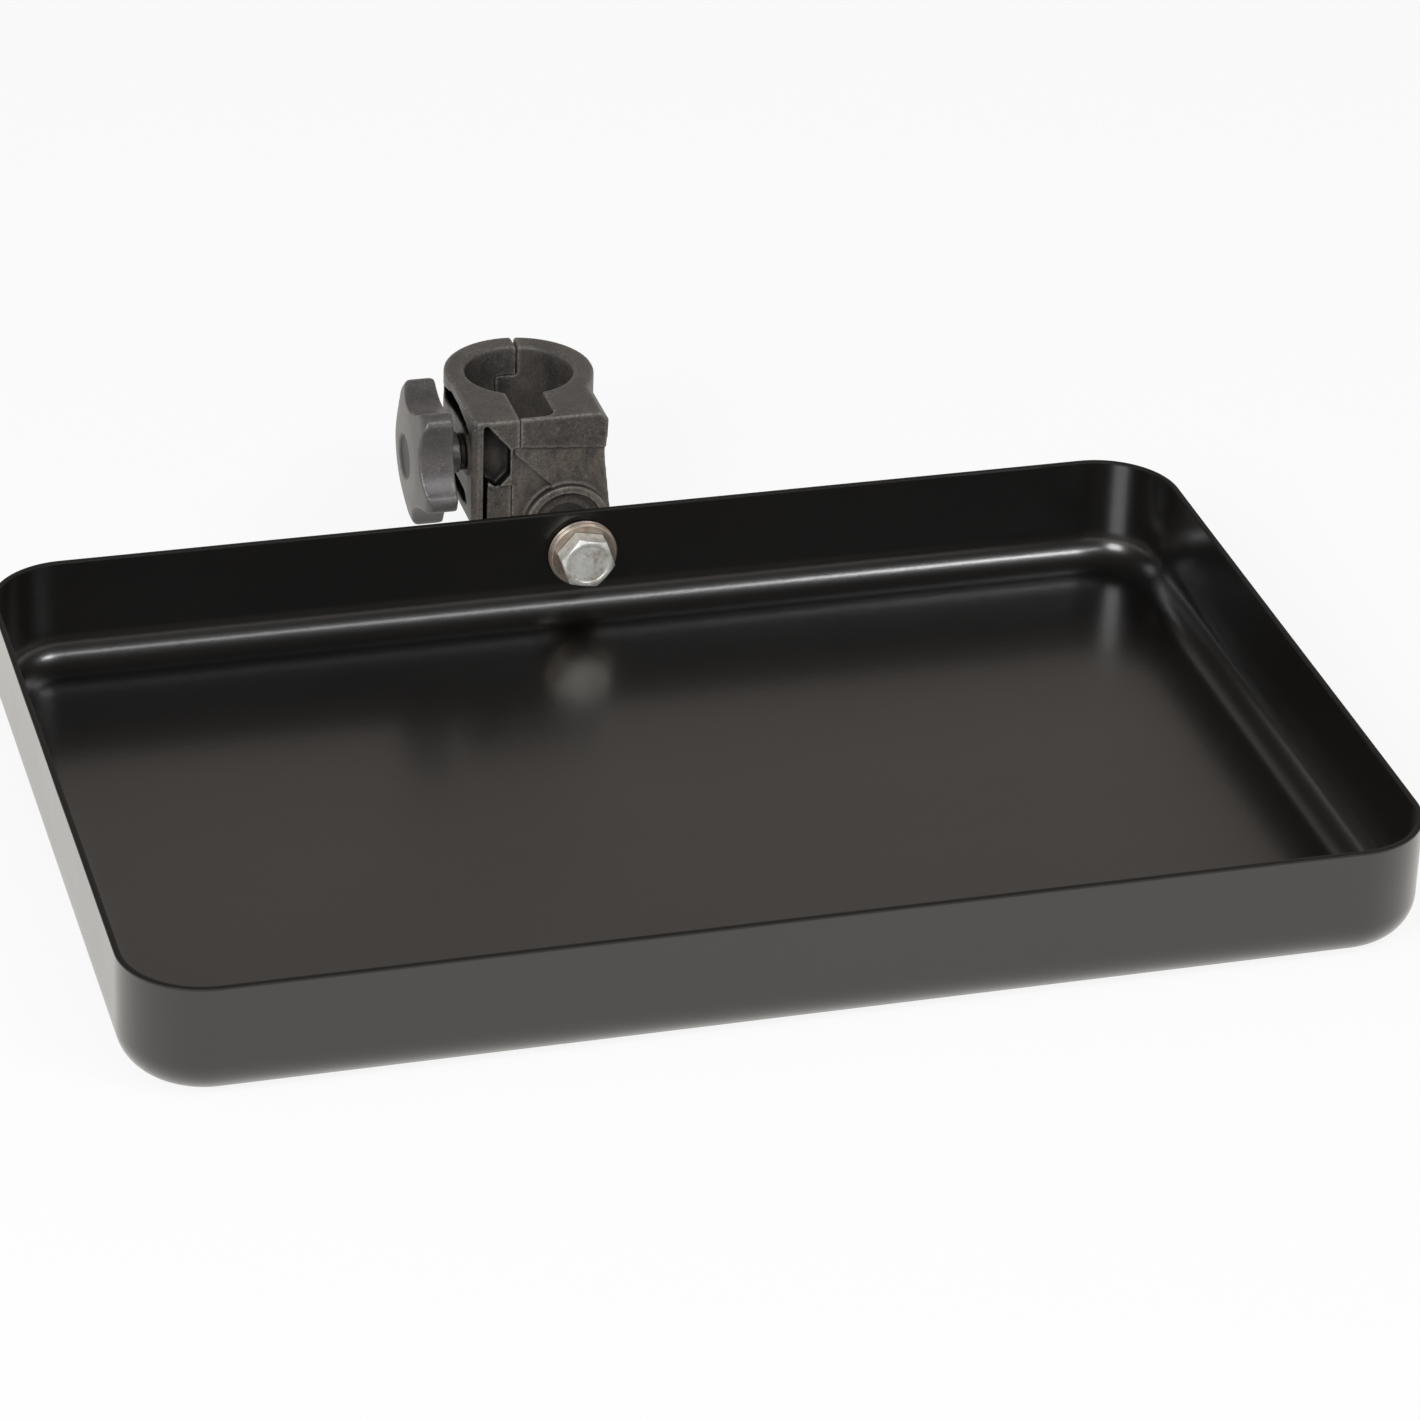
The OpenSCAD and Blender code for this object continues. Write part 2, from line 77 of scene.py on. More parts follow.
class Shade:  # a Principled material and the few nodes that its maps are made of
    def __init__(self, name):
        self.material = bpy.data.materials.new(name)
        self.material.use_nodes = True
        self.tree = self.material.node_tree
        self.tree.nodes.clear()
        self.out = self.tree.nodes.new("ShaderNodeOutputMaterial")
        self.shader = self.tree.nodes.new("ShaderNodeBsdfPrincipled")
        self.join(self.shader.outputs[0], self.out.inputs["Surface"])
        self.place = self.tree.nodes.new("ShaderNodeTexCoord").outputs["Object"]

    def join(self, source, target):
        self.tree.links.new(source, target)

    def feed(self, socket, value):  # a number or a colour is set on the socket, and a map is joined to it
        if isinstance(value, (float, int)):
            socket.default_value = value
        elif isinstance(value, tuple):
            socket.default_value = (*value, 1)
        else:
            self.join(value, socket)

    def give(self, source, socket):
        self.join(source, self.shader.inputs[socket])

    def set(self, **values):
        for key, value in values.items():
            self.shader.inputs[key.replace("_", " ")].default_value = value

    def scaled(self, factors):
        node = self.tree.nodes.new("ShaderNodeVectorMath")
        node.operation = "MULTIPLY"
        node.inputs[1].default_value = factors
        self.join(self.place, node.inputs[0])
        return node.outputs[0]

    def noise(self, pattern, at=None, distortion=0.0):  # a pattern is its scale, detail and roughness
        node = self.tree.nodes.new("ShaderNodeTexNoise")
        for socket, value in zip(("Scale", "Detail", "Roughness"), pattern):
            node.inputs[socket].default_value = value
        node.inputs["Distortion"].default_value = distortion
        self.join(at or self.place, node.inputs["Vector"])
        return node.outputs["Fac"]

    def cells(self, scale):
        node = self.tree.nodes.new("ShaderNodeTexVoronoi")
        node.inputs["Scale"].default_value = scale
        self.join(self.place, node.inputs["Vector"])
        return node.outputs["Distance"]

    def ramp(self, value, spots, low=0.0, high=1.0):
        node = self.tree.nodes.new("ShaderNodeValToRGB")
        for element, spot, colour in zip(node.color_ramp.elements, spots, (low, high)):
            element.position = spot
            element.color = (*colour, 1) if isinstance(colour, tuple) else (colour, colour, colour, 1)
        self.join(value, node.inputs["Fac"])
        return node.outputs["Color"]

    def mix(self, share, low, high):
        node = self.tree.nodes.new("ShaderNodeMix")
        node.data_type = "RGBA"
        for socket, value in (("Factor", share), ("A", low), ("B", high)):
            self.feed(node.inputs[socket], value)
        return node.outputs["Result"]

    def maths(self, operation, *values):
        node = self.tree.nodes.new("ShaderNodeMath")
        node.operation = operation
        node.use_clamp = True
        for socket, value in zip(node.inputs, values):
            self.feed(socket, value)
        return node.outputs[0]

    def times(self, *values):
        return self.maths("MULTIPLY", *values)

    def without(self, value, whole=1.0):
        return self.maths("SUBTRACT", whole, value)

    def bump(self, height, relief, base=None):  # a relief is its strength and depth
        node = self.tree.nodes.new("ShaderNodeBump")
        node.inputs["Strength"].default_value, node.inputs["Distance"].default_value = relief
        self.join(height, node.inputs["Height"])
        if base is not None:
            self.join(base, node.inputs["Normal"])
        return node.outputs["Normal"]

    def rounded(self, radius):
        node = self.tree.nodes.new("ShaderNodeBevel")
        node.samples = 6
        node.inputs["Radius"].default_value = radius
        return node.outputs["Normal"]

    def edges(self, radius, width):  # 1 where the rounded normal leaves the surface's own: the edges, for wear and, on the washers, a painted highlight
        geometry = self.tree.nodes.new("ShaderNodeNewGeometry")
        dot = self.tree.nodes.new("ShaderNodeVectorMath")
        dot.operation = "DOT_PRODUCT"
        self.join(self.rounded(radius), dot.inputs[0])
        self.join(geometry.outputs["Normal"], dot.inputs[1])
        return self.maths("DIVIDE", self.without(dot.outputs["Value"]), width)

    def beyond(self, axis, start, width):  # 0 before a place on an axis, 1 past it
        parts = self.tree.nodes.new("ShaderNodeSeparateXYZ")
        self.join(self.place, parts.inputs[0])
        return self.maths("DIVIDE", self.maths("SUBTRACT", parts.outputs[axis], start), width)

    def crevice(self, reach, own=True):  # 0 deep in hollows, 1 on open faces
        node = self.tree.nodes.new("ShaderNodeAmbientOcclusion")
        node.samples, node.only_local = 8, own
        node.inputs["Distance"].default_value = reach
        return node.outputs["AO"]


coatValues = {
    "dark": (0.0006, 0.0004, 0.0004), "light": (0.0017, 0.0012, 0.0008),
    "blotch": (14.0, 5.0, 0.6), "blotchAt": (0.35, 0.65),
    "roughness": (0.29, 0.36), "smear": (26.0, 6.0, 0.65), "smearAt": (0.25, 0.75),
    "smearStretch": (0.3, 1.0, 1.0), "rimDepth": 0.0007, "rimFade": 0.0004, "rimRoughness": 0.62,
    "wave": (16.0, 2.0, 0.4), "waveRelief": (0.25, 0.0005),
    "peel": (620.0, 1.0, 0.4), "peelRelief": (0.16, 0.0001),
    "coatRoughness": 0.19, "specular": 0.55, "ior": 1.5}


def powderCoat(v):
    look = Shade("PowderCoat")
    look.give(look.ramp(look.noise(v["blotch"]), v["blotchAt"], v["dark"], v["light"]), "Base Color")
    rubbed = look.beyond("Z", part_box("tray")[1][2] - v["rimDepth"], v["rimFade"])  # the cut rim is dull
    smear = look.noise(v["smear"], look.scaled(v["smearStretch"]))
    even = look.ramp(smear, v["smearAt"], *v["roughness"])
    look.give(look.mix(rubbed, even, (v["rimRoughness"],) * 3), "Roughness")
    look.give(look.without(rubbed), "Coat Weight")
    wave = look.bump(look.noise(v["wave"]), v["waveRelief"])
    peel = look.bump(look.noise(v["peel"]), v["peelRelief"], wave)
    look.give(peel, "Normal")
    look.give(peel, "Coat Normal")
    look.set(IOR=v["ior"], Specular_IOR_Level=v["specular"])
    look.set(Coat_IOR=v["ior"], Coat_Roughness=v["coatRoughness"])
    return look.material


nylonValues = {
    "low": (0.038, 0.035, 0.034), "high": (0.08, 0.074, 0.069),
    "patch": (75.0, 6.0, 0.7), "patchAt": (0.34, 0.66),
    "tan": (0.165, 0.135, 0.108), "stain": (130.0, 5.0, 0.75), "stainAt": (0.4, 0.66),
    "stainShare": (0.0, 0.9), "stainStretch": (1.0, 1.0, 0.45), "stainTwist": 0.5,
    "stainAbove": 0.3, "neckTop": 0.0425, "neckFade": 0.0012,
    "worn": (0.3, 0.28, 0.255), "speck": (1500.0, 5.0, 0.85), "speckAt": (0.52, 0.68),
    "speckShare": (0.0, 0.8),
    "sand": (90.0, 4.0, 0.7), "sandAt": (0.42, 0.62), "sandShare": (0.25, 0.85),
    "dirtAndShade": (0.004, 0.0035, 0.0035), "pitAt": (0.32, 0.45), "pitShare": (0.75, 0.0),
    "scuff": (1200.0, 4.0, 0.85), "scuffAt": (0.4, 0.56),
    "edges": ((0.0007, 0.016, 0.9), (0.0018, 0.06, 0.55)),  # radius, width and share, thin and wide
    "hollow": 0.03, "hollowAt": (0.5, 1.0), "gleamAt": (0.25, 0.65), "specular": (0.05, 0.5),
    "roughness": (0.36, 0.52), "roughAt": (0.3, 0.7), "grainRelief": (0.35, 0.00012),
    "cells": 420.0, "cellRelief": (0.15, 0.0001), "ior": 1.5}


def clampNylon(v):
    look = Shade("ClampNylon")
    patch = look.noise(v["patch"])
    ground = look.mix(look.ramp(patch, v["patchAt"]), v["low"], v["high"])
    stain = look.noise(v["stain"], look.scaled(v["stainStretch"]), v["stainTwist"])
    below = look.without(look.beyond("Z", v["neckTop"] - v["neckFade"], v["neckFade"]))  # dirtier down there
    reach = look.maths("ADD", look.times(below, 1.0 - v["stainAbove"]), v["stainAbove"])
    tanned = look.mix(look.times(look.ramp(stain, v["stainAt"], *v["stainShare"]), reach), ground, v["tan"])
    sandy = look.ramp(look.noise(v["sand"]), v["sandAt"], *v["sandShare"])
    speck = look.noise(v["speck"])
    grain = look.mix(look.times(look.ramp(speck, v["speckAt"], *v["speckShare"]), sandy), tanned, v["worn"])
    pits = look.mix(look.ramp(speck, v["pitAt"], *v["pitShare"]), grain, v["dirtAndShade"])
    scuff = look.ramp(look.noise(v["scuff"]), v["scuffAt"])
    rubs = [look.times(look.edges(radius, width), look.times(scuff, share))
            for radius, width, share in v["edges"]]
    edged = look.mix(look.maths("MAXIMUM", *rubs), pits, v["worn"])
    # painted shade: where AO finds hollows and recesses, the base colour goes down to the dark tone
    clear = look.crevice(v["hollow"])
    look.give(look.mix(look.ramp(clear, v["hollowAt"]), v["dirtAndShade"], edged), "Base Color")
    look.give(look.ramp(patch, v["roughAt"], *v["roughness"]), "Roughness")
    look.give(look.ramp(clear, v["gleamAt"], *v["specular"]), "Specular IOR Level")  # hollows don't gleam
    rough = look.bump(speck, v["grainRelief"])
    look.give(look.bump(look.cells(v["cells"]), v["cellRelief"], rough), "Normal")
    look.set(IOR=v["ior"])
    return look.material


knobValues = {
    "low": (0.056, 0.051, 0.052), "high": (0.097, 0.09, 0.09),
    "patch": (80.0, 5.0, 0.65), "patchAt": (0.34, 0.66),
    "worn": (0.24, 0.225, 0.215), "speck": (1500.0, 4.0, 0.8), "speckAt": (0.53, 0.72),
    "speckShare": (0.0, 0.55), "edge": (0.0011, 0.08),
    "scuff": (500.0, 4.0, 0.8), "scuffAt": (0.35, 0.6), "scuffShare": (0.1, 0.6),
    "dirtAndShade": (0.012, 0.011, 0.011), "dimple": 0.0064, "dimpleFade": 0.0007, "dimpleDepth": 0.003,
    "depthFade": 0.0004, "dimpleShade": 0.85, "hollow": 0.006, "hollowAt": (0.25, 0.7),
    "roughness": (0.32, 0.46), "roughAt": (0.3, 0.7),
    "grainRelief": (0.25, 0.0001), "specular": 0.9, "dimpleShadeDulls": 0.7, "ior": 1.5}


def knobPlastic(v):
    look = Shade("KnobPlastic")
    patch = look.noise(v["patch"])
    ground = look.mix(look.ramp(patch, v["patchAt"]), v["low"], v["high"])
    speck = look.noise(v["speck"])
    grain = look.mix(look.ramp(speck, v["speckAt"], *v["speckShare"]), ground, v["worn"])
    scuff = look.ramp(look.noise(v["scuff"]), v["scuffAt"], *v["scuffShare"])
    edged = look.mix(look.times(look.edges(*v["edge"]), scuff), grain, v["worn"])
    low, high = (Vector(corner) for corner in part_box("knob_stud"))
    axis = (low + high) / 2
    reach = look.tree.nodes.new("ShaderNodeVectorMath")  # how far a place is from the stud's axis
    reach.operation = "DISTANCE"
    look.join(look.scaled((0.0, 1.0, 1.0)), reach.inputs[0])
    reach.inputs[1].default_value = (0, axis.y, axis.z)
    # painted shade: inside the dimple of the knob's face the colour is darkened and the gleam lowered
    within = look.maths("DIVIDE", look.without(reach.outputs["Value"], v["dimple"]), v["dimpleFade"])
    outer = look.without(look.beyond("X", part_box("knob")[0][0] + v["dimpleDepth"], v["depthFade"]))
    sunk = look.times(within, outer)
    dimpleShaded = look.mix(look.times(sunk, v["dimpleShade"]), edged, v["dirtAndShade"])
    # painted shade: the base colour darkens in the knob's small hollows, where AO finds them
    look.give(look.mix(look.ramp(look.crevice(v["hollow"]), v["hollowAt"]), v["dirtAndShade"], dimpleShaded), "Base Color")
    look.give(look.ramp(patch, v["roughAt"], *v["roughness"]), "Roughness")
    look.give(look.without(look.times(sunk, v["dimpleShadeDulls"]), v["specular"]), "Specular IOR Level")
    look.give(look.bump(speck, v["grainRelief"]), "Normal")
    look.set(IOR=v["ior"])
    return look.material


bushValues = {
    "low": (0.02, 0.0185, 0.018), "high": (0.05, 0.046, 0.043),
    "patch": (300.0, 4.0, 0.7), "patchAt": (0.3, 0.7),
    "grain": (900.0, 3.0, 0.6), "grainRelief": (0.3, 0.0001), "edge": 0.0003, "roughness": 0.5}


def bushPlastic(v):
    look = Shade("BushPlastic")
    look.give(look.ramp(look.noise(v["patch"]), v["patchAt"], v["low"], v["high"]), "Base Color")
    look.give(look.bump(look.noise(v["grain"]), v["grainRelief"], look.rounded(v["edge"])), "Normal")
    look.set(Roughness=v["roughness"])
    return look.material


metalValues = {
    "zinc": {"low": (0.62, 0.63, 0.58), "high": (1.0, 1.0, 0.97), "stain": (0.36, 0.29, 0.2),
             "stainAt": (0.5, 0.7), "roughness": (0.29, 0.5), "metallic": 0.5},
    "worn": {"low": (0.24, 0.2, 0.168), "high": (0.5, 0.43, 0.365), "stain": (0.4, 0.23, 0.145),
             "stainAt": (0.5, 0.7), "roughness": (0.3, 0.5), "metallic": 0.75,
             "edge": (0.95, 0.85, 0.74), "seam": (0.04, 0.028, 0.02)},
    # the thrust washer's dark tone is painted shade for the dark gap between the knob and the jaw
    "thrust": {"low": (0.03, 0.027, 0.025), "high": (0.08, 0.072, 0.066), "stain": (0.3, 0.26, 0.2),
               "stainAt": (0.6, 0.72), "roughness": (0.35, 0.55), "metallic": 0.8},
    "steel": {"low": (0.4, 0.39, 0.37), "high": (0.6, 0.58, 0.55), "stain": (0.25, 0.17, 0.12),
              "stainAt": (0.55, 0.75), "roughness": (0.29, 0.45), "metallic": 1.0}}
platingValues = {
    "corner": 0.00025, "cloud": (170.0, 5.0, 0.65), "stain": (240.0, 5.0, 0.75), "stainShare": (0.0, 0.9),
    "spread": (0.3, 0.7), "dull": (420.0, 4.0, 0.6), "dent": (420.0, 3.0, 0.6), "dentRelief": (0.6, 0.0001),
    "brush": (1800.0, 2.0, 0.6), "brushRelief": (0.15, 0.00004), "edge": (0.0005, 0.08), "edgeShare": 0.8,
    "seam": 0.0015, "seamAt": (0.3, 0.75), "threadFade": 0.0001, "threadRelief": (1.0, 0.0004)}


def plated(name, metal, thread=None):  # a thread is its axis, where it begins and its pitch
    look, v = Shade(name), platingValues
    clean = look.ramp(look.noise(v["cloud"]), v["spread"], metal["low"], metal["high"])
    stain = look.ramp(look.noise(v["stain"]), metal["stainAt"], *v["stainShare"])
    surface = look.mix(stain, clean, metal["stain"])
    if "edge" in metal:  # bright worn edges that also paint the rims' highlights, and painted shade where the washers meet other parts
        surface = look.mix(look.times(look.edges(*v["edge"]), v["edgeShare"]), surface, metal["edge"])
        surface = look.mix(look.ramp(look.crevice(v["seam"], False), v["seamAt"]), metal["seam"], surface)
    look.give(surface, "Base Color")
    look.give(look.ramp(look.noise(v["dull"]), v["spread"], *metal["roughness"]), "Roughness")
    relief = look.bump(look.noise(v["dent"]), v["dentRelief"], look.rounded(v["corner"]))
    if thread:
        axis, start, pitch = thread
        wave = look.tree.nodes.new("ShaderNodeTexWave")
        wave.bands_direction, wave.wave_profile = axis, "TRI"
        wave.inputs["Scale"].default_value = math.pi / 10 / pitch
        look.join(look.place, wave.inputs["Vector"])
        turns = look.times(wave.outputs["Fac"], look.beyond(axis, start, v["threadFade"]))
        relief = look.bump(turns, v["threadRelief"], relief)
    look.give(look.bump(look.noise(v["brush"]), v["brushRelief"], relief), "Normal")
    look.set(Metallic=metal["metallic"])
    return look.material


boltThread = ("Y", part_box("tray")[1][1] + 0.001, 0.00125)  # an 8 mm bolt's pitch, from behind the wall
studThread = ("X", -1.0, 0.001)  # a 6 mm stud's pitch, all along it

coat = powderCoat(coatValues)
nylon = clampNylon(nylonValues)
zinc = plated("BoltZinc", metalValues["zinc"])
boltZinc = plated("ThreadedBolt", metalValues["zinc"], boltThread)
studZinc = plated("ThreadedStud", metalValues["zinc"], studThread)
wornZinc = plated("WornZinc", metalValues["worn"])
looks = {"tray": coat, "tray_bolt": boltZinc, "head_washer": wornZinc, "wall_washer": wornZinc,
         "spacer_bush": bushPlastic(bushValues), "bolt_nut": zinc, "clamp_body": nylon, "clamp_jaw": nylon,
         "hinge_pin": plated("PinSteel", metalValues["steel"]), "stud_nut": zinc,
         "thrust_washer": plated("ThrustZincShaded", metalValues["thrust"]), "knob_stud": studZinc,
         "knob": knobPlastic(knobValues)}
for name, material in looks.items():
    nodes[name].data.materials.clear()
    nodes[name].data.materials.append(material)
print("materials set")


trayValues = {
    "corner": 0.021, "cornerSteps": 24, "fillet": 0.0106, "filletSteps": 14, "sheet": 0.0015,
    "rim": 0.00028, "rimSteps": 3, "hole": 0.00425, "holeSteps": 48, "boltHeight": 0.0193,
    "floorInset": 0.0025, "step": 0.009, "stepInset": 0.002, "cutsBelowRim": (0.0006, 0.008),
    "wobble": 0.00016, "wobbleScale": 16, "clampHalf": 0.02, "clampFade": 0.05}


def bevelEdges(bm, edges, offset, segments):
    bmesh.ops.bevel(bm, geom=edges, offset=offset, offset_type="OFFSET", segments=segments, profile=0.5,
                    affect="EDGES", material=-1)


def cutAcross(bm, place, direction, faces=None):
    faces = faces or list(bm.faces)
    geom = list({item for face in faces for item in [face, *face.edges, *face.verts]})
    bmesh.ops.bisect_plane(bm, geom=geom, plane_co=place, plane_no=direction, dist=1e-7)


def pressTray(bm, v, low, high):  # an open shell with round corners, cut into steps that its skin can bend at
    bmesh.ops.create_cube(bm, size=1)
    bmesh.ops.scale(bm, vec=high - low, verts=bm.verts)
    bmesh.ops.translate(bm, vec=(low + high) / 2, verts=bm.verts)
    upright = [e for e in bm.edges if abs(e.verts[0].co.z - e.verts[1].co.z) > 0.01]
    bevelEdges(bm, upright, v["corner"], v["cornerSteps"])
    bmesh.ops.delete(bm, geom=[f for f in bm.faces if f.normal.z > 0.9], context="FACES_ONLY")
    lowest = [e for e in bm.edges if max(abs(w.co.z - low.z) for w in e.verts) < 1e-6]
    bevelEdges(bm, lowest, v["fillet"], v["filletSteps"])
    floorFace = [f for f in bm.faces if f.normal.z < -0.999]
    bmesh.ops.inset_individual(bm, faces=floorFace, thickness=v["floorInset"])
    for height in (v["fillet"] + v["stepInset"], *(high.z - depth for depth in v["cutsBelowRim"])):
        cutAcross(bm, (0, 0, height), (0, 0, 1))
    for axis, reach in ((0, high.x), (1, high.y)):
        straight = reach - v["corner"] - v["stepInset"]
        count = int(2 * straight / v["step"])
        for k in range(count + 1):
            place, direction = [0, 0, 0], [0, 0, 0]
            place[axis], direction[axis] = -straight + 2 * straight * k / count, 1
            cutAcross(bm, place, direction)


def bendWalls(bm, v, high):  # the sheet isn't quite true towards its rim, except where the clamp holds it
    spanX, spanY = high.x - v["corner"], high.y - v["corner"]
    for vert in bm.verts:
        inner = Vector((max(-1, min(1, vert.co.x / spanX)) * spanX,
                        max(-1, min(1, vert.co.y / spanY)) * spanY, vert.co.z))
        free = max(0, vert.co.z - v["fillet"]) / (high.z - v["fillet"])
        if vert.co.y > 0:
            free *= min(1, max(0, abs(vert.co.x) - v["clampHalf"]) / v["clampFade"])
        lean = abs(noise.noise(inner * v["wobbleScale"])) * v["wobble"] * free
        vert.co += (inner - vert.co).normalized() * lean


def drillHole(bm, v, high):  # a square window in the back wall, bridged to the bolt hole's circle
    half, middle = v["hole"] * 1.5, v["boltHeight"]
    for place, direction in (((half, 0, 0), (1, 0, 0)), ((-half, 0, 0), (1, 0, 0)),
                             ((0, 0, middle + half), (0, 0, 1)), ((0, 0, middle - half), (0, 0, 1))):
        near = [f for f in bm.faces if f.normal.y > 0.999 and abs(f.calc_center_median().x) < v["clampHalf"]]
        cutAcross(bm, place, direction, near)
    window = [f for f in bm.faces if f.normal.y > 0.999 and abs(f.calc_center_median().x) < half
              and abs(f.calc_center_median().z - middle) < half]
    bmesh.ops.delete(bm, geom=window, context="FACES")
    frameEdges = [e for e in bm.edges if len(e.link_faces) == 1
                  and max(abs(w.co.z - middle) for w in e.verts) < half + 1e-5]
    turn = Matrix.Translation((0, high.y, middle)) @ Matrix.Rotation(math.pi / 2, 4, "X")
    ring = bmesh.ops.create_circle(bm, segments=v["holeSteps"], radius=v["hole"], matrix=turn)["verts"]
    ringEdges = list({e for w in ring for e in w.link_edges})
    bmesh.ops.bridge_loops(bm, edges=frameEdges + ringEdges)


def makeTray(v):
    low, high = (Vector(corner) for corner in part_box("tray"))
    bm = bmesh.new()
    pressTray(bm, v, low, high)
    bendWalls(bm, v, high)
    drillHole(bm, v, high)
    bmesh.ops.recalc_face_normals(bm, faces=bm.faces)
    bmesh.ops.solidify(bm, geom=list(bm.faces), thickness=v["sheet"])
    for e in bm.edges:  # the hole keeps a crisp edge
        if all(w.co.y > 0 and abs(math.hypot(w.co.x, w.co.z - v["boltHeight"]) - v["hole"]) < 2e-5
               for w in e.verts):
            e.smooth = False
    rim = [e for e in bm.edges if all(abs(w.co.z - high.z) < 1e-5 for w in e.verts)
           and any(abs(f.normal.z) < 0.5 for f in e.link_faces)]
    bevelEdges(bm, rim, v["rim"], v["rimSteps"])
    return meshFrom("TraySheet", bm)


tray = standFor(makeTray(trayValues), "tray")
print("tray made", [round(c, 5) for corner in (tray.bound_box[0], tray.bound_box[6]) for c in corner])


castValues = {"clamp_body": (0.0004, 4), "clamp_jaw": (0.0004, 4), "knob": (0.00042, 9)}  # grid, wear


def makeCast(name, grid, passes):  # a moulded copy of a CAD node, worn round at its edges, in the same place
    moulded = linkNew("Moulded", nodes[name].data.copy())
    bm = bmesh.new()
    bm.from_mesh(moulded.data)
    bmesh.ops.remove_doubles(bm, verts=bm.verts, dist=1e-6)
    bm.to_mesh(moulded.data)
    bm.free()
    fine = moulded.modifiers.new("Fine", "REMESH")
    fine.mode, fine.voxel_size, fine.use_smooth_shade = "VOXEL", grid, True
    wear = moulded.modifiers.new("Wear", "SMOOTH")
    wear.factor, wear.iterations = 0.5, passes
    bpy.context.view_layer.update()
    finished = moulded.evaluated_get(bpy.context.evaluated_depsgraph_get())
    mesh = bpy.data.meshes.new_from_object(finished)
    bpy.data.objects.remove(moulded)
    return standFor(linkNew(name.title().replace("_", "") + "Cast", mesh), name)


for name, (grid, passes) in castValues.items():
    cast = makeCast(name, grid, passes)
    print("cast made", cast.name, len(cast.data.polygons))


floorValues = {"half": 12, "drop": 0.0002, "paper": (0.9, 0.9, 0.895, 1), "roughness": 0.9, "specular": 0.1,
               "white": (1.0, 1.0, 1.0), "mirrored": (1.0, 0.965, 0.91), "contact": 0.05,
               "seenShare": 0.88, "mirroredShare": (0.34, 0.45), "bouncedShare": 0.4}


def makeFloor(v):  # pale paper that keeps the shadow, with a white of its own for the camera and for mirrors
    bm = bmesh.new()
    bmesh.ops.create_grid(bm, x_segments=1, y_segments=1, size=v["half"])
    floor = meshFrom("Floor", bm)
    floor.data.transform(Matrix.Translation((0, 0, -v["drop"])))
    paper = Shade("FloorPaper")
    paper.set(Base_Color=v["paper"], Roughness=v["roughness"], Specular_IOR_Level=v["specular"])
    ray = paper.tree.nodes.new("ShaderNodeLightPath").outputs
    glow = paper.tree.nodes.new("ShaderNodeEmission")
    paper.join(paper.mix(ray["Is Glossy Ray"], v["white"], v["mirrored"]), glow.inputs["Color"])
    least, more = v["mirroredShare"]  # painted contact shadow: the glow seen in mirrors is dimmer close to the object
    near = paper.maths("ADD", paper.times(paper.crevice(v["contact"], False), more), least)
    shares = paper.maths("MAXIMUM", paper.times(ray["Is Camera Ray"], v["seenShare"]),
                         paper.times(ray["Is Glossy Ray"], near))
    shares = paper.maths("MAXIMUM", shares, paper.times(ray["Is Diffuse Ray"], v["bouncedShare"]))
    blend = paper.tree.nodes.new("ShaderNodeMixShader")
    for socket, source in enumerate((shares, paper.shader.outputs[0], glow.outputs[0])):
        paper.join(source, blend.inputs[socket])
    paper.join(blend.outputs[0], paper.out.inputs["Surface"])
    floor.data.materials.append(paper.material)


makeFloor(floorValues)

studioValues = {"fill": (0.14, 0.7), "fillAt": (-0.7, -0.65, 0.3), "fillEdge": (-0.3, 0.95),
                "horizon": (0.1, 0.36), "upper": 0.08,
                "panel": 0.37, "panelAt": (0.26, 0.82, 0.48), "panelEdge": (0.88, 0.995),
                "white": (1, 1, 1, 1), "mirrored": (1, 0.905, 0.84, 1)}


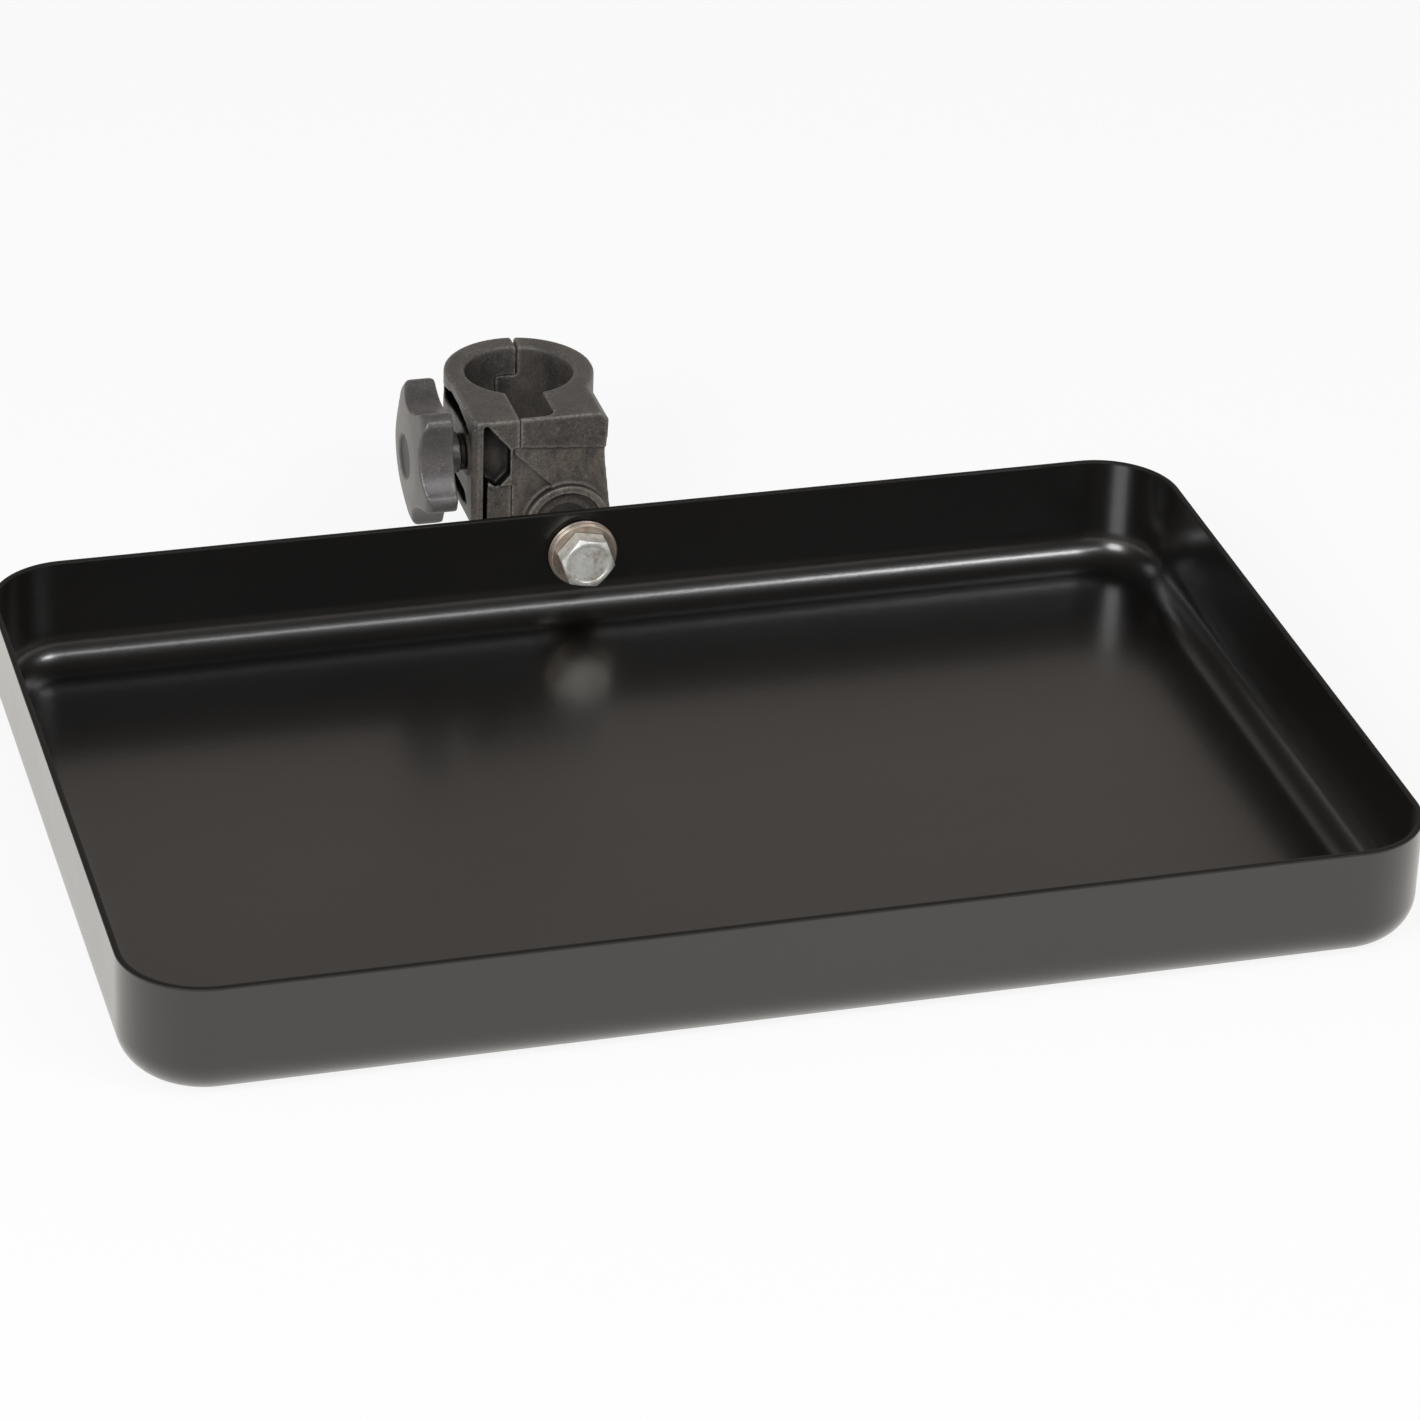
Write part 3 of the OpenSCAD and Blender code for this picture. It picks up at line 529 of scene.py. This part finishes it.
def studioWorld(v):  # white round the horizon, dim above with a grey panel behind, and soft fill
    world = bpy.data.worlds.new("Studio")
    bpy.context.scene.world = world
    world.use_nodes = True
    tree = world.node_tree

    def blendOf(share, low, high):
        node = tree.nodes.new("ShaderNodeMix")
        for socket, value in (("Factor", share), ("A", low), ("B", high)):
            if isinstance(value, float):
                node.inputs[socket].default_value = value
            else:
                tree.links.new(value, node.inputs[socket])
        return node.outputs["Result"]

    def stepOf(value, low, high):
        node = tree.nodes.new("ShaderNodeMapRange")
        node.interpolation_type = "SMOOTHSTEP"
        node.inputs["From Min"].default_value, node.inputs["From Max"].default_value = low, high
        tree.links.new(value, node.inputs["Value"])
        return node.outputs["Result"]

    direction = tree.nodes.new("ShaderNodeTexCoord").outputs["Generated"]
    height = tree.nodes.new("ShaderNodeSeparateXYZ")
    tree.links.new(direction, height.inputs[0])

    def facing(towards):
        node = tree.nodes.new("ShaderNodeVectorMath")
        node.operation = "DOT_PRODUCT"
        node.inputs[1].default_value = Vector(towards).normalized()
        tree.links.new(direction, node.inputs[0])
        return node.outputs["Value"]

    ray = tree.nodes.new("ShaderNodeLightPath").outputs
    above = blendOf(stepOf(facing(v["panelAt"]), *v["panelEdge"]), v["upper"], v["panel"])
    room = blendOf(stepOf(height.outputs["Z"], *v["horizon"]), 1.0, above)
    soft = blendOf(stepOf(facing(v["fillAt"]), *v["fillEdge"]), *v["fill"])
    tint = tree.nodes.new("ShaderNodeMix")
    tint.data_type = "RGBA"
    tint.inputs["A"].default_value, tint.inputs["B"].default_value = v["white"], v["mirrored"]
    tree.links.new(ray["Is Glossy Ray"], tint.inputs["Factor"])
    back = tree.nodes["Background"]
    tree.links.new(tint.outputs["Result"], back.inputs["Color"])
    mirrored = blendOf(ray["Is Glossy Ray"], soft, room)
    tree.links.new(blendOf(ray["Is Camera Ray"], mirrored, 1.0), back.inputs["Strength"])


studioWorld(studioValues)

lampValues = {
    "KeyBox": {"place": (0.68, -0.83, 1.1), "aim": (0, 0.08, 0), "size": (0.44, 0.15), "watts": 4},
    "WideBox": {"place": (0.3, -0.95, 1.1), "aim": (0, 0.08, 0), "size": (1.3, 0.15), "watts": 4},
    "FrontLeftBox": {"place": (-0.87, -0.92, 0.8), "aim": (0.1, 0.08, 0.02), "size": (0.56, 0.5),
                     "watts": 10.5}}


def softbox(name, v):
    lamp = bpy.data.lights.new(name, "AREA")
    lamp.shape = "RECTANGLE"
    lamp.size, lamp.size_y = v["size"]
    lamp.energy = v["watts"]
    made = bpy.data.objects.new(name, lamp)
    made.location = v["place"]
    made.rotation_euler = (Vector(v["aim"]) - Vector(v["place"])).to_track_quat("-Z", "Y").to_euler()
    bpy.context.scene.collection.objects.link(made)


for name, values in lampValues.items():
    softbox(name, values)


cameraValues = {"azimuth": -16.543, "elevation": 29.067, "roll": 2.053, "target": (0.005736, 0, 0.027762),
                "distance": 1.408, "lens": 5654.9 / 1420 * 36, "sensor": 36, "clip": (0.05, 60)}


def placeCamera(v):  # solved from the photograph's outline
    azimuth, elevation, roll = (math.radians(v[key]) for key in ("azimuth", "elevation", "roll"))
    back = Vector((math.sin(azimuth) * math.cos(elevation), -math.cos(azimuth) * math.cos(elevation),
                   math.sin(elevation)))
    data = bpy.data.cameras.new("Camera")
    data.lens, data.sensor_width = v["lens"], v["sensor"]
    data.clip_start, data.clip_end = v["clip"]
    camera = bpy.data.objects.new("Camera", data)
    camera.matrix_world = (Matrix.Translation(Vector(v["target"]) + back * v["distance"])
                           @ Matrix.Rotation(azimuth, 4, "Z")
                           @ Matrix.Rotation(math.pi / 2 - elevation, 4, "X") @ Matrix.Rotation(roll, 4, "Z"))
    bpy.context.scene.collection.objects.link(camera)
    bpy.context.scene.camera = camera


placeCamera(cameraValues)
bpy.context.scene.view_settings.view_transform = "Standard"
print("camera and lights set")
